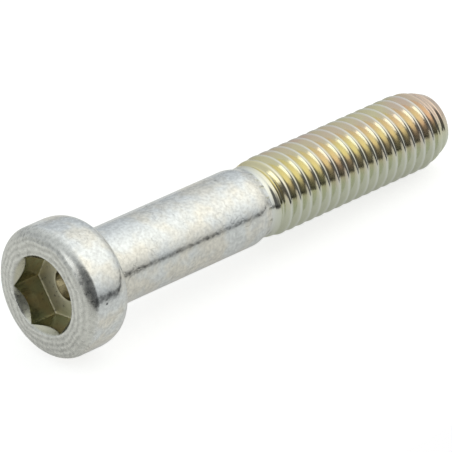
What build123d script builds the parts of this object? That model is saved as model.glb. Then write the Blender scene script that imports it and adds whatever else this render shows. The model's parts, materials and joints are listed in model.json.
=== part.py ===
from build123d import *
from math import atan, cos, degrees, radians, sin, tan
import os

# Low-head socket cap screw, M6 x 35, lying on its side. Millimetres and degrees
# Head
head_diameter = 9.8
head_height = 4.1
front_edge_width = 1.45
front_edge_height = 0.95
back_edge_width = 0.75
back_edge_height = 1.4

# Hexagon socket, its conical mouth, and the hole in its bottom that guides the key's pilot
socket_across_flats = 5.1
socket_depth = 2.45
socket_turn = -8.8
mouth_flare = 0.9
mouth_slope = 50
pilot_diameter = 2.5
pilot_depth = 1.5
pilot_tip_slope = 30

# Plain shank, and the waist beside the rolled thread
shank_diameter = 5.84
shank_length = 15.2
underhead_radius = 0.25
waist_diameter = 5.3
waist_length = 0.9
waist_gap = 0.9

# Thread and its pointed end
thread_length = 18
thread_diameter = 5.92
thread_pitch = 1
flank_angle = 30
crest_width = 0.125
root_width = 0.2
thread_lead = 0.46
crest_runout = 1.8
root_runout = 0.8
point_length = 2
point_diameter = 4.6

head_radius = head_diameter / 2
shank_radius = shank_diameter / 2
waist_radius = waist_diameter / 2
thread_radius = thread_diameter / 2
point_radius = point_diameter / 2

# Shank, waist and thread follow one another along the screw, the thread a gap past the waist
waist_end = shank_length + waist_length
thread_start = waist_end + waist_gap
screw_length = thread_start + thread_length
point_start = screw_length - point_length

# Socket's mouth and the end of its pilot hole
mouth_diameter = socket_across_flats + mouth_flare
mouth_depth = mouth_flare / 2 * tan(radians(mouth_slope))
pilot_end = socket_depth + pilot_depth - head_height

# Height of the thread's ridge, which its two flanks and the flats at its crest and root leave
ridge_foot = thread_pitch - root_width
ridge_height = (ridge_foot - crest_width) / 2 / tan(radians(flank_angle))
root_radius = thread_radius - ridge_height
ridge_sink = 0.05
ridge_start = thread_start - thread_lead
ridge_end = screw_length + thread_pitch
core_end = ridge_end + thread_pitch
crest_rise = thread_radius - waist_radius
point_rise = thread_radius - point_radius
# Share by which the cones that trim the ridge run past its crest
trim_reach = 1.2

# The screw lies on the widest circle of its head and on its last full thread
rest_angle = degrees(atan((head_radius - thread_radius) / (point_start + back_edge_height)))
rest_sine = sin(radians(rest_angle))
rest_cosine = cos(radians(rest_angle))
seat_height = head_radius * rest_cosine - back_edge_height * rest_sine

# Along the ground the head reaches back and the point reaches forward of the bearing face
reach_back = head_height * rest_cosine + (head_radius - front_edge_width) * rest_sine
reach_forward = screw_length * rest_cosine + point_radius * rest_sine
seat_place = ((reach_back - reach_forward) / 2, 0, seat_height)
to_point = (rest_cosine, 0, -rest_sine)

# The bearing face looks along the screw to its point, and the half section holds the screw's axis
bearing_plane = Plane(origin=seat_place, x_dir=(rest_sine, 0, rest_cosine), z_dir=to_point)
half_section = Plane(origin=seat_place, x_dir=to_point, z_dir=(0, -1, 0))
screw_axis = Axis(seat_place, to_point)
front_plane = bearing_plane.offset(-head_height)

with BuildPart() as screw:
    # Core of the thread, as wide as the waist at first
    with BuildSketch(half_section):
        with BuildLine():
            Polyline(
                (waist_end, 0),
                (waist_end, waist_radius),
                (ridge_start, waist_radius),
                (ridge_start + root_runout, root_radius),
                (core_end, root_radius),
                (core_end, 0),
                close=True,
            )
        make_face()
    revolve(axis=screw_axis)

    # Ridge of the thread, wound on the core with its foot a little inside it
    with BuildLine():
        ridge_path = Helix(
            pitch=thread_pitch,
            height=ridge_end - ridge_start,
            radius=root_radius,
            center=bearing_plane.offset(ridge_start).origin,
            direction=to_point,
        )
    foot_reach = ridge_foot / 2 + ridge_sink * tan(radians(flank_angle))
    with BuildSketch(Plane(origin=ridge_path @ 0, x_dir=to_point, z_dir=(0, -1, 0))):
        with BuildLine():
            Polyline(
                (-foot_reach, -ridge_sink),
                (-crest_width / 2, ridge_height),
                (crest_width / 2, ridge_height),
                (foot_reach, -ridge_sink),
                close=True,
            )
        make_face()
    sweep(path=ridge_path, is_frenet=True)

    # Two cones and the end face trim the ridge where it grows from the waist and at the point
    with BuildSketch(half_section):
        with BuildLine():
            Polyline(
                (waist_end, 0),
                (waist_end, waist_radius),
                (waist_end + crest_runout * trim_reach, waist_radius + crest_rise * trim_reach),
                (screw_length - point_length * trim_reach, point_radius + point_rise * trim_reach),
                (screw_length, point_radius),
                (screw_length, 0),
                close=True,
            )
        make_face()
    revolve(axis=screw_axis, mode=Mode.INTERSECT)

    # Head, fillet under it, shank and waist are turned from one half section
    with BuildSketch(half_section):
        with BuildLine():
            Line((-head_height, 0), (-head_height, head_radius - front_edge_width))
            EllipticalCenterArc(
                (front_edge_height - head_height, head_radius - front_edge_width),
                front_edge_height,
                front_edge_width,
                start_angle=90,
                arc_size=90,
            )
            Line((front_edge_height - head_height, head_radius), (-back_edge_height, head_radius))
            EllipticalCenterArc(
                (-back_edge_height, head_radius - back_edge_width),
                back_edge_height,
                back_edge_width,
                start_angle=0,
                arc_size=90,
            )
            Line((0, head_radius - back_edge_width), (0, shank_radius + underhead_radius))
            CenterArc(
                (underhead_radius, shank_radius + underhead_radius),
                underhead_radius,
                start_angle=180,
                arc_size=90,
            )
            Polyline(
                (underhead_radius, shank_radius),
                (shank_length, shank_radius),
                (waist_end, waist_radius),
                (waist_end, 0),
                (-head_height, 0),
            )
        make_face()
    revolve(axis=screw_axis)

    # Hexagon socket with a flat bottom
    with BuildSketch(front_plane):
        RegularPolygon(
            radius=socket_across_flats / 2,
            side_count=6,
            major_radius=False,
            rotation=30 + socket_turn,
        )
    extrude(amount=socket_depth, mode=Mode.SUBTRACT)

    # Conical mouth, which leaves an arch over each flat, and the pilot hole
    with BuildSketch(half_section):
        with BuildLine():
            Polyline(
                (-head_height, 0),
                (-head_height, mouth_diameter / 2),
                (mouth_depth - head_height, socket_across_flats / 2),
                (mouth_depth - head_height, pilot_diameter / 2),
                (pilot_end, pilot_diameter / 2),
                (pilot_end + pilot_diameter / 2 * tan(radians(pilot_tip_slope)), 0),
                close=True,
            )
        make_face()
    revolve(axis=screw_axis, mode=Mode.SUBTRACT)

screw.part.label = "screw"

os.makedirs("parts", exist_ok=True)
export_step(screw.part, "parts/screw.step")
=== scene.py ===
import bpy
import json
import numpy as np
from math import cos, pi, radians, sin, tan
from mathutils import Matrix, Vector


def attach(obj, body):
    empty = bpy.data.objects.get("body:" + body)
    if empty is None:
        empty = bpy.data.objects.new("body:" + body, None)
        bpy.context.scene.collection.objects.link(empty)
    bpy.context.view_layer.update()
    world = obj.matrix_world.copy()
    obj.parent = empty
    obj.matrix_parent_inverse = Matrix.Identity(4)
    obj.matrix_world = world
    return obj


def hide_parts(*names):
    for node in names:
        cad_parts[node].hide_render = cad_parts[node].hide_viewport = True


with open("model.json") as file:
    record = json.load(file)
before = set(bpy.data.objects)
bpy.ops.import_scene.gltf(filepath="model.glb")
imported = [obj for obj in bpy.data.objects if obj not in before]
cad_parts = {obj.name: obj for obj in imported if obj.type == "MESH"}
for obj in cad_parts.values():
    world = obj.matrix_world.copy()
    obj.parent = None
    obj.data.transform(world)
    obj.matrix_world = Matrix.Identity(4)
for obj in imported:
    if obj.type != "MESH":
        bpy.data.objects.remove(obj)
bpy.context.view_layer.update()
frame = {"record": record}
mounts = {mount["name"]: mount for mount in frame["record"]["mounts"]}

# Sizes of the screw, in metres. The head is drawn 0.005 mm inside the solid's, to stay in its faceted box
MM = 0.001
HEAD_RADIUS = 4.895 * MM
HEAD_HEIGHT = 4.1 * MM
FRONT_EDGE_WIDTH = 1.45 * MM
FRONT_EDGE_HEIGHT = 0.95 * MM
BACK_EDGE_WIDTH = 0.75 * MM
BACK_EDGE_HEIGHT = 1.4 * MM
SOCKET_APOTHEM = 2.55 * MM
SOCKET_DEPTH = 2.45 * MM
SOCKET_TURN = radians(-8.8)
MOUTH_RADIUS = 3.0 * MM
MOUTH_SLOPE = radians(50)
PILOT_RADIUS = 1.25 * MM
PILOT_DEPTH = 1.5 * MM
PILOT_TIP_SLOPE = radians(30)
SHANK_RADIUS = mounts["shank"]["dims"]["r_mm"] * MM
SHANK_LENGTH = 15.2 * MM
UNDERHEAD_RADIUS = 0.25 * MM
WAIST_RADIUS = 2.65 * MM
WAIST_END = 16.1 * MM
SCREW_LENGTH = 35 * MM
THREAD_RADIUS = mounts["thread"]["dims"]["r_mm"] * MM
THREAD_PITCH = 1 * MM
RIDGE_START = 16.54 * MM
CREST_RUNOUT = 1.8 * MM
ROOT_RUNOUT = 0.8 * MM
CREST_WIDTH = 0.125 * MM
ROOT_WIDTH = 0.2 * MM
FLANK_ANGLE = radians(30)
POINT_LENGTH = 2 * MM
POINT_RADIUS = 2.3 * MM
POINT_BULGE = 0.06 * MM

# How far each soft edge reaches from its corner
PILOT_TIP_ROUNDING = 0.1 * MM
PILOT_RIM_ROUNDING = 0.06 * MM
SOCKET_FOOT_ROUNDING = 0.1 * MM
LIP_ROUNDING = 0.06 * MM
MOUTH_ROUNDING = 0.07 * MM
SHANK_END_ROUNDING = 0.35 * MM
CREST_ROUNDING = 0.05 * MM
ROOT_ROUNDING = 0.12 * MM
CORE_ROUNDING = 0.06 * MM
CONE_ROUNDING = 0.05 * MM
# A rounding takes no more than this share of the run beside it
LARGEST_ROUNDING = 0.45
# The core reaches the root's radius a little later than its runout, so that it starts and ends softly
CORE_EASE = 1.3

# Columns of the mesh round the screw, a multiple of six so that each corner of the socket has one
COLUMNS = 168
# Widest gaps between its rows in the socket, on the head's side and on the shank
SOCKET_ROW_GAP = 0.3 * MM
HEAD_ROW_GAP = 0.4 * MM
SHANK_ROW_GAP = 0.6 * MM
CORNER_ROWS = 5
FRONT_EDGE_ROWS = 18
BACK_EDGE_ROWS = 16
# Radii of the rows on the end face, as shares of its edge, and the small ring round the pilot hole's pole
END_SHARES = np.array([1, 0.985, 0.6, 0.001])
POLE_RING_RADIUS = 0.002 * MM
POLE_RISE = 0.001 * MM
WALL_TOLERANCE = 0.005 * MM

# The mesh's three finishes, by the order of their materials
HEAD_FINISH = 0
SOCKET_FINISH = 1
THREAD_FINISH = 2

# Sizes of the surface patterns: clouds of tint, grain, marks, knocks, tool rings and the chromate's film
CLOUD_SIZE = 2 * MM
GRAIN_SIZE = 0.25 * MM
DENT_SIZE = 0.6 * MM
WAVE_SIZE = 1.1 * MM
MARK_SIZE = 1.1 * MM
MARK_AREA = 2.5 * MM
KNOCK_SPACING = 2.2 * MM
KNOCK_RADIUS = 0.13 * MM
RING_SPACING = 0.42 * MM
FILM_SIZE = 4 * MM
STREAK_WIDTH = 0.3 * MM
BAND_WIDTH = 0.9 * MM
# The clouds shift the rings' phase by up to this, in radians. A streak's width is this share of its length
RING_WAVER = 12
STREAK_DRAW = 0.12

# Depths of the patterns, in millimetres
HEAD_GRAIN = [(GRAIN_SIZE, 0.007), (DENT_SIZE, 0.005), (WAVE_SIZE, 0.014)]
SOCKET_STREAKS = [(STREAK_WIDTH, 0.012), (BAND_WIDTH, 0.03)]
THREAD_GRAIN = [(GRAIN_SIZE, 0.003), (WAVE_SIZE, 0.008)]
RING_DEPTH = 0.004
FLAW_DEPTH = -0.012
# Shares by which the rings, the marks and the flaws change the colour
RING_SHADE = 0.13
MARK_STRENGTH = 0.35
FLAW_SHADE = 0.5

# Zinc on the head and the shank, on the head's front, and tinted by chromate in the socket's mouth
COLD_ZINC = "eaedec"
WARM_ZINC = "eeebe1"
FRONT_ZINC = "dfdfd8"
MOUTH_ZINC = "c4c0a4"
# The same zinc in the socket: walls, pilot hole and bottom
GREEN_WALL = "999f84"
BROWN_WALL = "a49a79"
PILOT_WALL = "d2cbb4"
SOCKET_BOTTOM = "f9f3d6"
# The chromate's film on the thread, a painted reflection of the floor with painted shade on its lower side,
# and the bare crests
YELLOW_FILM = "ebe2b8"
PINK_FILM = "ead2bc"
UNDERSIDE_PAINTED_REFLECTION = "d8dbc6"
BARE_CREST = "e9ebe6"
THREAD_ROUGHNESS = 0.16

# Camera, from the photograph's perspective: distance and offsets are those of the bearing face's middle
PHOTO_PIXELS = 452
FOCAL_PIXELS = 5171.6
CAMERA_TURN = radians(45.0)
CAMERA_ELEVATION = radians(31.3)
CAMERA_DISTANCE = 361.7 * MM
SEAT_PIXEL = (84.5, 276.9)
SENSOR_WIDTH = 36
NEAREST_SEEN = 0.01
FURTHEST_SEEN = 20

# The floor ends a little in front of the screw, so that a dark gap shows in the metal between it and the room
FLOOR_FRONT = -26 * MM
FLOOR_BACK = 0.25
FLOOR_SIDE = 0.2
FLOOR_PAINT = "b8b8b4"
FLOOR_ROUGHNESS = 0.9
# What the camera and the metal see of the floor beyond the light that falls on it
FLOOR_GLOW = 0.75
FLOOR_SHINE = 0.3

# The room: strengths of its walls, ceiling and soft light. Directions are turn and elevation in degrees
WALL_LIGHT = 0.54
CEILING_LIGHT = 0.82
WALL_HEIGHTS = (0.1, 0.85)
SOFT_LIGHT = 0.42
SOFT_LIGHT_DIRECTION = (-35, 42)
SOFT_LIGHT_POWER = 2.9
DARK_AREA_DIRECTION = (-120, 8)
DARK_AREA_STRETCH = (1, 1, 1.5)
DARK_AREA_EDGE = radians(66)
DARK_AREA_CORE = radians(48)
DARK_AREA_LIGHT = 0.18
HORIZON = (-0.07, 0.02)
LIGHT_BELOW = 0.08
COOL_WHITE = "f6fbff"
WARM_WHITE = "fffffa"

# The soft box on the left
LAMP_DIRECTION = (179, 21)
LAMP_DISTANCE = 0.6
LAMP_WIDTH = 0.27
LAMP_HEIGHT = 0.17
LAMP_RADIANCE = 1.1

# Axis of the lying screw: from the middle of the bearing face to the point
to_point = Vector(mounts["shank"]["axis"])
seat = Vector(mounts["thread"]["pos_m"]) - to_point * SCREW_LENGTH
side = Vector((0, -1, 0))
up = side.cross(to_point)


def smoothstep(x):
    """Zero below 0, one above 1, and 3x squared minus 2x cubed between them."""
    x = np.clip(x, 0, 1)
    return x * x * (3 - 2 * x)


def soft_min(a, b, width):
    """The smaller of a and b, rounded by a parabola where they are within width of each other."""
    overlap = np.clip(width - np.abs(a - b), 0, None)
    return np.minimum(a, b) - overlap**2 / (4 * width)


def soft_max(a, b, width):
    """The larger of a and b, rounded by a parabola where they are within width of each other."""
    return -soft_min(-a, -b, width)


def column_angles():
    """Angle of each column, counted from the top of the screw towards the camera, from a socket corner on."""
    return SOCKET_TURN + radians(30) + np.arange(COLUMNS) * 2 * pi / COLUMNS


def hexagon_radius(angles):
    """Distance from the axis to the hexagon: the apothem over the cosine of the angle from the flat's
    middle."""
    from_flat = (angles - SOCKET_TURN + radians(30)) % radians(60) - radians(30)
    return SOCKET_APOTHEM / np.cos(from_flat)


def rounded(before, corner, after, reach):
    """Rows of a parabola round a corner: it leaves and meets the two straight runs at reach from the corner.

    Each point is an array over the columns of (distance along the axis, radius)."""
    def towards(target):
        run = target - corner
        length = np.linalg.norm(run, axis=0)
        return corner + run * np.minimum(reach / length, LARGEST_ROUNDING)

    start, end = towards(before), towards(after)
    t = np.linspace(0, 1, CORNER_ROWS)[:, None, None]
    return (1 - t) ** 2 * start + 2 * t * (1 - t) * corner + t**2 * end


def straight_rows(start, end, gap):
    """Evenly spaced rows strictly between two rows, about gap apart, and none on a run shorter than gap."""
    length = np.linalg.norm(end - start, axis=0).max()
    count = int(length / gap)
    if count < 1:
        return []
    t = np.linspace(0, 1, count + 2)[1:-1, None, None]
    return [start + (end - start) * t]


def polyline_rows(points, reaches, gap):
    """Rows along a line through points, with each inner corner rounded and more rows on long runs."""
    rows = [points[0][None]]
    for i in range(1, len(points) - 1):
        turn = rounded(points[i - 1], points[i], points[i + 1], reaches[i])
        rows += straight_rows(rows[-1][-1], turn[0], gap)
        rows.append(turn)
    rows += straight_rows(rows[-1][-1], points[-1], gap)
    rows.append(points[-1][None])
    return np.concatenate(rows)


def ring(along, radius):
    """A row of one distance along the axis and one radius, each for all columns or with a value for each."""
    return np.stack([np.broadcast_to(along, COLUMNS), np.broadcast_to(radius, COLUMNS)])


def socket_rows():
    """Rows from the tip of the pilot hole, over the socket's bottom, up its wall and out through its
    mouth."""
    wall = hexagon_radius(column_angles())
    front = -HEAD_HEIGHT
    bottom = front + SOCKET_DEPTH
    pilot_end = bottom + PILOT_DEPTH
    lip = front + (MOUTH_RADIUS - wall) * tan(MOUTH_SLOPE)
    points = [
        ring(pilot_end + PILOT_RADIUS * tan(PILOT_TIP_SLOPE), POLE_RING_RADIUS),
        ring(pilot_end, PILOT_RADIUS),
        ring(bottom, PILOT_RADIUS),
        ring(bottom, wall),
        ring(lip, wall),
        ring(front, MOUTH_RADIUS),
        ring(front, HEAD_RADIUS - FRONT_EDGE_WIDTH),
    ]
    reaches = [0, PILOT_TIP_ROUNDING, PILOT_RIM_ROUNDING, SOCKET_FOOT_ROUNDING, LIP_ROUNDING,
               MOUTH_ROUNDING, 0]
    return polyline_rows(points, reaches, SOCKET_ROW_GAP)


def ellipse_rows(centre_along, centre_radius, height, width, first, last, count):
    """Rows of an ellipse's arc: centre plus height times cosine along the axis and width times sine
    outwards."""
    angles = np.linspace(first, last, count)
    return np.stack([ring(centre_along + height * cos(a), centre_radius + width * sin(a)) for a in angles])


def head_rows():
    """Rows from the rounded front edge of the head to the waist: two quarter ellipses, the bearing face with
    its fillet, the shank and the cone to the waist."""
    front_edge = ellipse_rows(
        FRONT_EDGE_HEIGHT - HEAD_HEIGHT, HEAD_RADIUS - FRONT_EDGE_WIDTH, FRONT_EDGE_HEIGHT, FRONT_EDGE_WIDTH,
        pi, pi / 2, FRONT_EDGE_ROWS)
    back_edge = ellipse_rows(
        -BACK_EDGE_HEIGHT, HEAD_RADIUS - BACK_EDGE_WIDTH, BACK_EDGE_HEIGHT, BACK_EDGE_WIDTH,
        pi / 2, 0, BACK_EDGE_ROWS)
    shank = polyline_rows(
        [
            back_edge[-1],
            ring(0, SHANK_RADIUS),
            ring(SHANK_LENGTH, SHANK_RADIUS),
            ring(WAIST_END, WAIST_RADIUS),
        ],
        [0, UNDERHEAD_RADIUS, SHANK_END_ROUNDING, 0],
        SHANK_ROW_GAP)
    head_side = straight_rows(front_edge[-1], back_edge[0], HEAD_ROW_GAP)
    return np.concatenate([front_edge[1:], *head_side, back_edge, shank[1:]])


def thread_radii(along, from_crest):
    """Radius of the thread from the distance along the axis and the distance to the nearest crest line.

    The ridge is a trapezium with flanks of 30 degrees. It stands on a core that narrows from the waist to the
    root, and is trimmed by a cone where it starts and by a slightly bulged cone at the point."""
    ridge_height = (THREAD_PITCH - ROOT_WIDTH - CREST_WIDTH) / 2 / tan(FLANK_ANGLE)
    root_radius = THREAD_RADIUS - ridge_height
    grow = smoothstep((along - RIDGE_START + THREAD_PITCH / 2) / THREAD_PITCH)
    narrowing = smoothstep((along - RIDGE_START) / ROOT_RUNOUT / CORE_EASE)
    core = WAIST_RADIUS + (root_radius - WAIST_RADIUS) * narrowing
    flank = THREAD_RADIUS - (np.abs(from_crest) - CREST_WIDTH / 2) / tan(FLANK_ANGLE)
    ridge = soft_min(flank, THREAD_RADIUS, CREST_ROUNDING)
    ridge = soft_max(ridge, root_radius, ROOT_ROUNDING)
    surface = soft_max(core, ridge, CORE_ROUNDING) * grow + core * (1 - grow)
    start_cone = WAIST_RADIUS + (THREAD_RADIUS - WAIST_RADIUS) * (along - WAIST_END) / CREST_RUNOUT
    # Past 1.6 point lengths from the end its cone is wider than the thread and trims nothing
    to_end = np.clip((SCREW_LENGTH - along) / POINT_LENGTH, 0, 1.6)
    bulge = POINT_BULGE * 4 * np.clip(to_end * (1 - to_end), 0, None)
    point_cone = POINT_RADIUS + (THREAD_RADIUS - POINT_RADIUS) * to_end + bulge
    surface = soft_min(surface, soft_max(start_cone, WAIST_RADIUS, CONE_ROUNDING), CONE_ROUNDING)
    return soft_min(surface, point_cone, CONE_ROUNDING)


def crest_distance(along, first_crest):
    """Signed distance along the axis from the nearest crest line."""
    return (along - first_crest + THREAD_PITCH / 2) % THREAD_PITCH - THREAD_PITCH / 2


def pitch_steps():
    """Places across one pitch where the thread has a row: close together at the edges of the crest and the
    root."""
    crest = np.array([0, 0.035, 0.075, 0.11])
    flank = np.array([0.17, 0.24, 0.31, 0.36])
    root = np.array([0.41, 0.46])
    half = np.concatenate([crest, flank, root])
    return np.concatenate([half, [0.5], 1 - half[:0:-1]])


def placed(along, radius, angles):
    """World points of the screw's own coordinates: seat, plus the axis, up and side parts."""
    out = np.array(up)[:, None] * np.cos(angles) + np.array(side)[:, None] * np.sin(angles)
    on_axis = np.array(seat)[:, None, None] + np.array(to_point)[:, None, None] * along
    return on_axis + out[:, None, :] * radius


def cells(ids, next_ids):
    """Two triangles for each cell between two rows, given its own column and the next one. A triangle that
    names a vertex twice is left out."""
    a, b = ids[:-1].ravel(), ids[1:].ravel()
    c, d = next_ids[1:].ravel(), next_ids[:-1].ravel()
    triangles = np.concatenate([np.stack([a, c, b], 1), np.stack([a, d, c], 1)])
    distinct = ((triangles[:, 0] != triangles[:, 1]) & (triangles[:, 1] != triangles[:, 2])
                & (triangles[:, 0] != triangles[:, 2]))
    return triangles[distinct]


def turned_cells(ids):
    """Cells of rows that close on themselves: the last column meets the first."""
    return cells(ids, np.roll(ids, -1, axis=1))


def fan(pole, row, next_row):
    """A triangle from the pole to each vertex of a row and the next one."""
    return np.stack([np.full(COLUMNS, pole), row, next_row], 1)


def make_screw():
    """The whole screw as one closed skin of rows and columns.

    Rows run from the pole in the pilot hole to the waist. From there to the end face they follow the thread's
    helix: the last column of a row meets the first column of the row one pitch further on. Rows that would
    pass the waist or the end face stay on them."""
    angles = column_angles()
    turned = np.concatenate([socket_rows(), head_rows()])
    ring_along, ring_radius = turned[:, 0], turned[:, 1]

    steps = pitch_steps()
    pitches = int((SCREW_LENGTH - WAIST_END) / THREAD_PITCH) + 3
    crest_of_row = (np.arange(pitches)[:, None] + steps[None, :]).ravel()
    # The crest passes RIDGE_START at the top of the screw, and gains one pitch in each turn
    first_crest = RIDGE_START + THREAD_PITCH * angles / (2 * pi)
    before_waist = np.floor((WAIST_END - first_crest[0]) / THREAD_PITCH) - 1
    along = first_crest[None, :] + (crest_of_row[:, None] + before_waist) * THREAD_PITCH
    from_crest = ((crest_of_row + 0.5) % 1 - 0.5)[:, None] * THREAD_PITCH
    held = np.clip(along, WAIST_END, SCREW_LENGTH)
    radius = thread_radii(held, from_crest + held - along)

    end_along = np.full((len(END_SHARES), COLUMNS), SCREW_LENGTH)
    end_edge = thread_radii(np.full(COLUMNS, SCREW_LENGTH), crest_distance(SCREW_LENGTH, first_crest))
    all_along = np.concatenate([ring_along, held, end_along])
    all_radius = np.concatenate([ring_radius, radius, end_edge[None, :] * END_SHARES[:, None]])
    vertices = placed(all_along, all_radius, angles).reshape(3, -1).T

    ids = np.arange(len(all_along))[:, None] * COLUMNS + np.arange(COLUMNS)
    ring_count = len(ring_along)
    end_row = ring_count + len(along)
    ring_ids, end_ids = ids[:ring_count], ids[end_row:]
    thread_ids = np.where(along <= WAIST_END, ids[ring_count - 1], ids[ring_count:end_row])
    thread_ids = np.where(along >= SCREW_LENGTH, end_ids[0], thread_ids)
    next_thread_ids = np.roll(thread_ids, -1, axis=1)
    next_thread_ids[:, -1] = end_ids[0, 0]
    next_thread_ids[:-len(steps), -1] = thread_ids[len(steps):, 0]

    # The socket's finish ends where its wall meets the mouth, seen at the middle of a flat
    flat_column = COLUMNS // 12
    socket_count = int((ring_radius[:, flat_column] < SOCKET_APOTHEM + WALL_TOLERANCE).sum())

    # Poles close the skin in the tip of the pilot hole and in the middle of the end face
    pole_along = np.array([[ring_along[0, 0] + POLE_RISE], [SCREW_LENGTH]])
    poles = placed(pole_along, np.zeros((2, 1)), np.zeros(1)).reshape(3, -1).T
    tip_pole, end_pole = len(vertices), len(vertices) + 1
    tip, end = ring_ids[0], end_ids[-1]

    parts = [
        (turned_cells(ring_ids[:socket_count]), SOCKET_FINISH),
        (turned_cells(ring_ids[socket_count - 1:]), HEAD_FINISH),
        (cells(thread_ids, next_thread_ids), THREAD_FINISH),
        (turned_cells(end_ids), THREAD_FINISH),
        (fan(tip_pole, np.roll(tip, -1), tip), SOCKET_FINISH),
        (fan(end_pole, end, np.roll(end, -1)), THREAD_FINISH),
    ]
    triangles = np.concatenate([part for part, finish in parts])
    finishes = np.concatenate([np.full(len(part), finish) for part, finish in parts])
    return mesh_object("screw_skin", np.concatenate([vertices, poles]), triangles, finishes)


def mesh_object(name, vertices, triangles, finishes):
    """A smooth mesh from whole arrays, without the vertices that no triangle uses, with a finish for each
    face."""
    used, compact = np.unique(triangles, return_inverse=True)
    triangles = compact.reshape(triangles.shape)
    vertices = vertices[used]
    mesh = bpy.data.meshes.new(name)
    mesh.vertices.add(len(vertices))
    mesh.vertices.foreach_set("co", vertices.astype(np.float32).ravel())
    mesh.loops.add(triangles.size)
    mesh.loops.foreach_set("vertex_index", triangles.astype(np.int32).ravel())
    mesh.polygons.add(len(triangles))
    mesh.polygons.foreach_set("loop_start", np.arange(0, triangles.size, 3, dtype=np.int32))
    mesh.polygons.foreach_set("material_index", finishes.astype(np.int32))
    mesh.polygons.foreach_set("use_smooth", np.ones(len(triangles), dtype=bool))
    mesh.update(calc_edges=True)
    mesh.validate()
    piece = bpy.data.objects.new(name, mesh)
    bpy.context.scene.collection.objects.link(piece)
    return piece


def linear(hex_colour):
    """The linear colour of an sRGB hex value, opaque."""
    values = np.array([int(hex_colour[i:i + 2], 16) for i in (0, 2, 4)]) / 255
    values = np.where(values <= 0.04045, values / 12.92, ((values + 0.055) / 1.055) ** 2.4)
    return (*values.tolist(), 1.0)


def add(tree, kind, links=None, out=None, **settings):
    """Adds a node with its settings and links. Gives its output named out, or else its first one.

    links maps each input to a value or to another node's output."""
    node = tree.nodes.new(kind)
    for name, value in settings.items():
        setattr(node, name, value)
    for key, value in (links or {}).items():
        if isinstance(value, bpy.types.NodeSocket):
            tree.links.new(value, node.inputs[key])
        else:
            node.inputs[key].default_value = value
    if out:
        return node.outputs[out]
    return next((socket for socket in node.outputs if socket.enabled), None)


def new_material(name):
    """A material without nodes."""
    material = bpy.data.materials.new(name)
    material.use_nodes = True
    material.node_tree.nodes.clear()
    return material


def screw_coordinates(tree):
    """Object coordinates turned into the screw's own: x up, y to the side, z along the axis from the seat."""
    turn = Matrix((up, side, to_point)).to_4x4()
    place = add(tree, "ShaderNodeTexCoord", out="Object")
    return add(tree, "ShaderNodeMapping",
               {"Vector": place, "Location": turn @ (-seat), "Rotation": turn.to_euler()})


def distance_from_axis(tree, place):
    """Length of the place without its part along the axis."""
    across = add(tree, "ShaderNodeVectorMath", {0: place, 1: (1, 1, 0)}, operation="MULTIPLY")
    return add(tree, "ShaderNodeVectorMath", {0: across}, out="Value", operation="LENGTH")


def finish_metal(tree, colour, roughness, height):
    """A metal whose bump height is in millimetres."""
    normal = add(tree, "ShaderNodeBump", {"Strength": 1.0, "Distance": MM, "Height": height})
    shader = add(tree, "ShaderNodeBsdfPrincipled",
                 {"Base Color": colour, "Metallic": 1.0, "Roughness": roughness, "Normal": normal})
    add(tree, "ShaderNodeOutputMaterial", {"Surface": shader})


def grain_height(tree, place, sizes_and_depths):
    """Sum of noises, each as wide as its size and as deep as its depth in millimetres."""
    total = 0.0
    for size, depth in sizes_and_depths:
        grain = add(tree, "ShaderNodeTexNoise", {"Vector": place, "Scale": 1 / size, "Detail": 1.0})
        total = add(tree, "ShaderNodeMath", {0: grain, 1: depth, 2: total}, operation="MULTIPLY_ADD")
    return total


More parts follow.
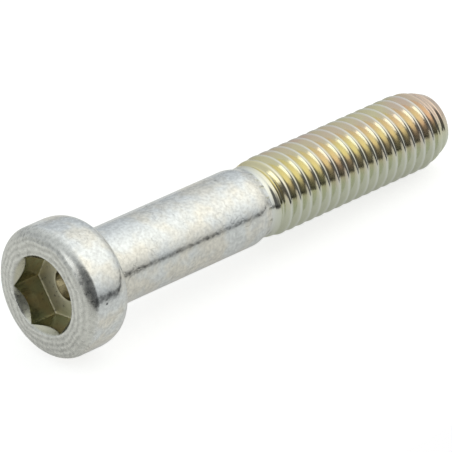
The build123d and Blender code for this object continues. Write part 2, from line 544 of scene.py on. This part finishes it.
def zinc_on_head():
    """Bright zinc electroplate on a cold-headed blank: nearly mirror smooth, but uneven from the tumbling
    barrel, so that reflections have ragged edges. It has a few knocks, hair-fine marks, and wavering rings
    that the header's tool left on the face."""
    material = new_material("zinc_electroplate_on_cold_headed_steel")
    tree = material.node_tree
    place = screw_coordinates(tree)
    cloud = add(tree, "ShaderNodeTexNoise", {"Vector": place, "Scale": 1 / CLOUD_SIZE, "Detail": 2.0})
    warm = add(tree, "ShaderNodeMapRange", {"Value": cloud, "From Min": 0.42, "From Max": 0.6})
    colour = add(tree, "ShaderNodeMix", {"Factor": warm, "A": linear(COLD_ZINC), "B": linear(WARM_ZINC)},
                 data_type="RGBA")
    fine = add(tree, "ShaderNodeTexNoise", {"Vector": place, "Scale": 1 / GRAIN_SIZE, "Detail": 3.0})
    along = add(tree, "ShaderNodeSeparateXYZ", {"Vector": place}, out="Z")
    # The head's front is duller than its side
    front = add(tree, "ShaderNodeMapRange", {"Value": along, "From Min": 0.9 * MM - HEAD_HEIGHT,
                                             "From Max": 0.5 * MM - HEAD_HEIGHT})
    roughness = add(tree, "ShaderNodeMapRange", {"Value": fine, "From Min": 0.35, "From Max": 0.65,
                                                 "To Min": 0.16, "To Max": 0.27})
    roughness = add(tree, "ShaderNodeMath", {0: front, 1: 0.08, 2: roughness}, operation="MULTIPLY_ADD")
    colour = add(tree, "ShaderNodeMix", {"Factor": front, "A": colour, "B": linear(FRONT_ZINC)},
                 data_type="RGBA")
    spots = add(tree, "ShaderNodeMapRange", {"Value": fine, "From Min": 0.35, "From Max": 0.65,
                                             "To Min": 0.84, "To Max": 1.08})
    colour = add(tree, "ShaderNodeMix", {"Factor": 1.0, "A": colour, "B": spots},
                 data_type="RGBA", blend_type="MULTIPLY")
    # The socket's mouth keeps a little of the socket's chromate
    radius = distance_from_axis(tree, place)
    in_mouth = add(tree, "ShaderNodeMapRange", {"Value": radius, "From Min": MOUTH_RADIUS,
                                                "From Max": MOUTH_RADIUS - 0.15 * MM, "To Max": 0.7})
    in_mouth = add(tree, "ShaderNodeMath", {0: in_mouth, 1: front}, operation="MULTIPLY")
    colour = add(tree, "ShaderNodeMix", {"Factor": in_mouth, "A": colour, "B": linear(MOUTH_ZINC)},
                 data_type="RGBA")
    # Marks: thin contour lines of a noise, kept where a wider noise is high
    contour = add(tree, "ShaderNodeTexNoise", {"Vector": place, "Scale": 1 / MARK_SIZE, "Detail": 2.0})
    offset = add(tree, "ShaderNodeMath", {0: contour, 1: 0.5}, operation="SUBTRACT")
    offset = add(tree, "ShaderNodeMath", {0: offset}, operation="ABSOLUTE")
    line = add(tree, "ShaderNodeMapRange", {"Value": offset, "From Min": 0.02, "From Max": 0.0})
    area = add(tree, "ShaderNodeTexNoise", {"Vector": place, "Scale": 1 / MARK_AREA, "Detail": 0.0})
    area = add(tree, "ShaderNodeMapRange", {"Value": area, "From Min": 0.5, "From Max": 0.6})
    marks = add(tree, "ShaderNodeMath", {0: line, 1: area}, operation="MULTIPLY")
    marks = add(tree, "ShaderNodeMath", {0: marks, 1: MARK_STRENGTH}, operation="MULTIPLY")
    # Knocks: small dips round the points of a Voronoi pattern that lie near the surface
    knock = add(tree, "ShaderNodeTexVoronoi", {"Vector": place, "Scale": 1 / KNOCK_SPACING})
    knocks = add(tree, "ShaderNodeMapRange", {"Value": knock, "From Min": KNOCK_RADIUS / KNOCK_SPACING,
                                              "From Max": 0.3 * KNOCK_RADIUS / KNOCK_SPACING})
    flaws = add(tree, "ShaderNodeMath", {0: marks, 1: knocks}, operation="MAXIMUM")
    shade = add(tree, "ShaderNodeMapRange", {"Value": flaws, "To Min": 1.0, "To Max": FLAW_SHADE})
    colour = add(tree, "ShaderNodeMix", {"Factor": 1.0, "A": colour, "B": shade},
                 data_type="RGBA", blend_type="MULTIPLY")
    # Rings on the face: a sine of the radius, whose phase the clouds shift
    waver = add(tree, "ShaderNodeMath", {0: cloud, 1: RING_WAVER}, operation="MULTIPLY")
    phase = add(tree, "ShaderNodeMath", {0: radius, 1: 2 * pi / RING_SPACING, 2: waver},
                operation="MULTIPLY_ADD")
    rings = add(tree, "ShaderNodeMath", {0: phase}, operation="SINE")
    on_face = add(tree, "ShaderNodeMapRange", {"Value": along, "From Min": 0.5 * MM - HEAD_HEIGHT,
                                               "From Max": 0.02 * MM - HEAD_HEIGHT})
    rings = add(tree, "ShaderNodeMath", {0: rings, 1: on_face}, operation="MULTIPLY")
    ring_shade = add(tree, "ShaderNodeMath", {0: rings, 1: RING_SHADE, 2: 1.0}, operation="MULTIPLY_ADD")
    colour = add(tree, "ShaderNodeMix", {"Factor": 1.0, "A": colour, "B": ring_shade},
                 data_type="RGBA", blend_type="MULTIPLY")
    height = grain_height(tree, place, HEAD_GRAIN)
    height = add(tree, "ShaderNodeMath", {0: rings, 1: RING_DEPTH, 2: height}, operation="MULTIPLY_ADD")
    height = add(tree, "ShaderNodeMath", {0: flaws, 1: FLAW_DEPTH, 2: height}, operation="MULTIPLY_ADD")
    finish_metal(tree, colour, roughness, height)
    return material


def zinc_in_socket():
    """Zinc in the punched socket, where the yellowish chromate stays thick. The punch left streaks along the
    walls, which draw a reflection out into upright bands, and a pale matt bottom."""
    material = new_material("chromated_zinc_in_punched_socket")
    tree = material.node_tree
    place = screw_coordinates(tree)
    cloud = add(tree, "ShaderNodeTexNoise", {"Vector": place, "Scale": 1 / CLOUD_SIZE, "Detail": 3.0})
    share = add(tree, "ShaderNodeMapRange", {"Value": cloud, "From Min": 0.4, "From Max": 0.6})
    colour = add(tree, "ShaderNodeMix", {"Factor": share, "A": linear(GREEN_WALL), "B": linear(BROWN_WALL)},
                 data_type="RGBA")
    along = add(tree, "ShaderNodeSeparateXYZ", {"Vector": place}, out="Z")
    bottom = SOCKET_DEPTH - HEAD_HEIGHT
    from_bottom = add(tree, "ShaderNodeMath", {0: along, 1: bottom}, operation="SUBTRACT")
    from_bottom = add(tree, "ShaderNodeMath", {0: from_bottom}, operation="ABSOLUTE")
    on_bottom = add(tree, "ShaderNodeMapRange", {"Value": from_bottom, "From Min": 0.1 * MM,
                                                 "From Max": 0.04 * MM})
    in_pilot = add(tree, "ShaderNodeMapRange", {"Value": along, "From Min": bottom,
                                                "From Max": bottom + 0.1 * MM})
    colour = add(tree, "ShaderNodeMix", {"Factor": in_pilot, "A": colour, "B": linear(PILOT_WALL)},
                 data_type="RGBA")
    colour = add(tree, "ShaderNodeMix", {"Factor": on_bottom, "A": colour, "B": linear(SOCKET_BOTTOM)},
                 data_type="RGBA")
    roughness = add(tree, "ShaderNodeMapRange", {"Value": on_bottom, "To Min": 0.24, "To Max": 0.5})
    fine = add(tree, "ShaderNodeTexNoise", {"Vector": place, "Scale": 1 / GRAIN_SIZE, "Detail": 3.0})
    specks = add(tree, "ShaderNodeMapRange", {"Value": fine, "From Min": 0.6, "From Max": 0.72,
                                              "To Min": 1.0, "To Max": 0.5})
    colour = add(tree, "ShaderNodeMix", {"Factor": 1.0, "A": colour, "B": specks},
                 data_type="RGBA", blend_type="MULTIPLY")
    drawn = add(tree, "ShaderNodeVectorMath", {0: place, 1: (1, 1, STREAK_DRAW)}, operation="MULTIPLY")
    finish_metal(tree, colour, roughness, grain_height(tree, drawn, SOCKET_STREAKS))
    return material


def zinc_on_thread():
    """Zinc on the rolled thread, whose flanks the dies left smooth and bright. The chromate's thin film
    shines yellow and pink on the upper side. The lower side is painted a greyer, slightly darker green: a
    painted reflection of the floor, and painted shade. The crests are rubbed pale."""
    material = new_material("yellow_chromated_zinc_on_rolled_thread")
    tree = material.node_tree
    place = screw_coordinates(tree)
    cloud = add(tree, "ShaderNodeTexNoise", {"Vector": place, "Scale": 1 / FILM_SIZE, "Detail": 1.0})
    share = add(tree, "ShaderNodeMapRange", {"Value": cloud, "From Min": 0.38, "From Max": 0.62})
    film = add(tree, "ShaderNodeMix", {"Factor": share, "A": linear(YELLOW_FILM), "B": linear(PINK_FILM)},
               data_type="RGBA")
    # Painted reflection and shade: the lower side of the lying screw gets a greyer, slightly darker colour
    # than the upper one
    upwards = add(tree, "ShaderNodeSeparateXYZ", {"Vector": place}, out="X")
    upper = add(tree, "ShaderNodeMapRange", {"Value": upwards, "From Min": 0.0,
                                             "From Max": 0.6 * THREAD_RADIUS})
    colour = add(tree, "ShaderNodeMix", {"Factor": upper, "A": linear(UNDERSIDE_PAINTED_REFLECTION), "B": film},
                 data_type="RGBA")
    radius = distance_from_axis(tree, place)
    crest = add(tree, "ShaderNodeMapRange", {"Value": radius, "From Min": THREAD_RADIUS - 0.12 * MM,
                                             "From Max": THREAD_RADIUS - 0.03 * MM, "To Max": 0.55})
    along = add(tree, "ShaderNodeSeparateXYZ", {"Vector": place}, out="Z")
    waist = add(tree, "ShaderNodeMapRange", {"Value": along, "From Min": WAIST_END + THREAD_PITCH,
                                             "From Max": WAIST_END})
    bare = add(tree, "ShaderNodeMath", {0: crest, 1: waist}, operation="MAXIMUM")
    colour = add(tree, "ShaderNodeMix", {"Factor": bare, "A": colour, "B": linear(BARE_CREST)},
                 data_type="RGBA")
    finish_metal(tree, colour, THREAD_ROUGHNESS, grain_height(tree, place, THREAD_GRAIN))
    return material


def make_camera():
    """The photograph's camera. It looks along its own axis, and the bearing face's middle falls on
    SEAT_PIXEL."""
    forward = Vector((cos(CAMERA_TURN) * cos(CAMERA_ELEVATION), sin(CAMERA_TURN) * cos(CAMERA_ELEVATION),
                      -sin(CAMERA_ELEVATION)))
    right = forward.cross(Vector((0, 0, 1))).normalized()
    down = forward.cross(right)
    across = (SEAT_PIXEL[0] - PHOTO_PIXELS / 2) / FOCAL_PIXELS
    below = (SEAT_PIXEL[1] - PHOTO_PIXELS / 2) / FOCAL_PIXELS
    data = bpy.data.cameras.new("camera")
    data.sensor_width = SENSOR_WIDTH
    data.lens = SENSOR_WIDTH * FOCAL_PIXELS / PHOTO_PIXELS
    data.clip_start = NEAREST_SEEN
    data.clip_end = FURTHEST_SEEN
    camera = bpy.data.objects.new("camera", data)
    camera.matrix_world = Matrix((right, -down, -forward)).transposed().to_4x4()
    camera.location = seat - (forward + right * across + down * below) * CAMERA_DISTANCE
    bpy.context.scene.collection.objects.link(camera)
    bpy.context.scene.camera = camera


def make_floor():
    """A flat board in pale matt paint, which the camera sees as white except for the screw's shadow."""
    corners = [(-FLOOR_SIDE, FLOOR_FRONT, 0), (FLOOR_SIDE, FLOOR_FRONT, 0),
               (FLOOR_SIDE, FLOOR_BACK, 0), (-FLOOR_SIDE, FLOOR_BACK, 0)]
    mesh = bpy.data.meshes.new("floor")
    mesh.from_pydata(corners, [], [(0, 1, 2, 3)])
    floor = bpy.data.objects.new("floor", mesh)
    bpy.context.scene.collection.objects.link(floor)
    material = new_material("white_painted_board")
    tree = material.node_tree
    glossy_ray = add(tree, "ShaderNodeLightPath", out="Is Glossy Ray")
    glow = add(tree, "ShaderNodeMath", {0: glossy_ray, 1: FLOOR_SHINE}, operation="MULTIPLY")
    camera_ray = add(tree, "ShaderNodeLightPath", out="Is Camera Ray")
    glow = add(tree, "ShaderNodeMath", {0: camera_ray, 1: FLOOR_GLOW, 2: glow}, operation="MULTIPLY_ADD")
    shader = add(tree, "ShaderNodeBsdfPrincipled",
                 {"Base Color": linear(FLOOR_PAINT), "Roughness": FLOOR_ROUGHNESS,
                  "Emission Color": (1, 1, 1, 1), "Emission Strength": glow})
    add(tree, "ShaderNodeOutputMaterial", {"Surface": shader})
    mesh.materials.append(material)


def direction(turn, elevation):
    """Unit vector from a turn from +X towards +Y and an elevation, in degrees."""
    turn, elevation = radians(turn), radians(elevation)
    return Vector((cos(turn) * cos(elevation), sin(turn) * cos(elevation), sin(elevation)))


def make_world():
    """A softly lit room: grey walls that lighten upwards, a broad soft light on the right, a dark area round
    the camera, and darkness below the floor. The camera itself sees white."""
    world = bpy.data.worlds.new("room")
    bpy.context.scene.world = world
    world.use_nodes = True
    tree = world.node_tree
    tree.nodes.clear()
    look = add(tree, "ShaderNodeTexCoord", out="Generated")
    height = add(tree, "ShaderNodeSeparateXYZ", {"Vector": look}, out="Z")
    walls = add(tree, "ShaderNodeMapRange", {"Value": height, "From Min": WALL_HEIGHTS[0],
                                             "From Max": WALL_HEIGHTS[1],
                                             "To Min": WALL_LIGHT, "To Max": CEILING_LIGHT})
    # The soft light: a power of the cosine of the angle from its middle
    facing = add(tree, "ShaderNodeVectorMath", {0: look, 1: direction(*SOFT_LIGHT_DIRECTION)}, out="Value",
                 operation="DOT_PRODUCT")
    facing = add(tree, "ShaderNodeMath", {0: facing, 1: 0.0}, operation="MAXIMUM")
    soft_light = add(tree, "ShaderNodeMath", {0: facing, 1: SOFT_LIGHT_POWER}, operation="POWER")
    light = add(tree, "ShaderNodeMath", {0: soft_light, 1: SOFT_LIGHT, 2: walls}, operation="MULTIPLY_ADD")
    # The dark area is wider than it is high, so heights are stretched before it is measured
    stretched = add(tree, "ShaderNodeVectorMath", {0: look, 1: DARK_AREA_STRETCH}, operation="MULTIPLY")
    stretched = add(tree, "ShaderNodeVectorMath", {0: stretched}, operation="NORMALIZE")
    near_camera = add(tree, "ShaderNodeVectorMath", {0: stretched, 1: direction(*DARK_AREA_DIRECTION)},
                      out="Value", operation="DOT_PRODUCT")
    open_room = add(tree, "ShaderNodeMapRange", {"Value": near_camera, "From Min": cos(DARK_AREA_EDGE),
                                                 "From Max": cos(DARK_AREA_CORE),
                                                 "To Min": 1.0, "To Max": DARK_AREA_LIGHT},
                    interpolation_type="SMOOTHSTEP")
    light = add(tree, "ShaderNodeMath", {0: light, 1: open_room}, operation="MULTIPLY")
    above_floor = add(tree, "ShaderNodeMapRange", {"Value": height, "From Min": HORIZON[0],
                                                   "From Max": HORIZON[1],
                                                   "To Min": LIGHT_BELOW, "To Max": 1.0})
    light = add(tree, "ShaderNodeMath", {0: light, 1: above_floor}, operation="MULTIPLY")
    colour = add(tree, "ShaderNodeMix",
                 {"Factor": soft_light, "A": linear(COOL_WHITE), "B": linear(WARM_WHITE)}, data_type="RGBA")
    colour = add(tree, "ShaderNodeVectorMath", {0: colour, "Scale": light}, operation="SCALE")
    camera_ray = add(tree, "ShaderNodeLightPath", out="Is Camera Ray")
    seen = add(tree, "ShaderNodeMix", {"Factor": camera_ray, "A": colour, "B": (1, 1, 1, 1)},
               data_type="RGBA")
    shader = add(tree, "ShaderNodeBackground", {"Color": seen, "Strength": 1.0})
    add(tree, "ShaderNodeOutputWorld", {"Surface": shader})


def make_lamp():
    """A wide, low soft box on the left, whose reflection lights one band on every flank of the thread. Its
    power is its radiance times pi times its area."""
    data = bpy.data.lights.new("left_soft_box", "AREA")
    data.shape = "RECTANGLE"
    data.size = LAMP_WIDTH
    data.size_y = LAMP_HEIGHT
    data.energy = LAMP_RADIANCE * pi * LAMP_WIDTH * LAMP_HEIGHT
    lamp = bpy.data.objects.new("left_soft_box", data)
    away = direction(*LAMP_DIRECTION)
    lamp.location = away * LAMP_DISTANCE
    lamp.rotation_euler = away.to_track_quat("Z", "Y").to_euler()
    bpy.context.scene.collection.objects.link(lamp)


def finish_screw(piece):
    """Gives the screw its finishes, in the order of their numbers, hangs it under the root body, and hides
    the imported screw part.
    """
    for material in (zinc_on_head(), zinc_in_socket(), zinc_on_thread()):
        piece.data.materials.append(material)
    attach(piece, "root")
    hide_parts("screw")


bpy.context.scene.view_settings.view_transform = "Standard"
make_camera()
make_floor()
make_world()
make_lamp()
finish_screw(make_screw())
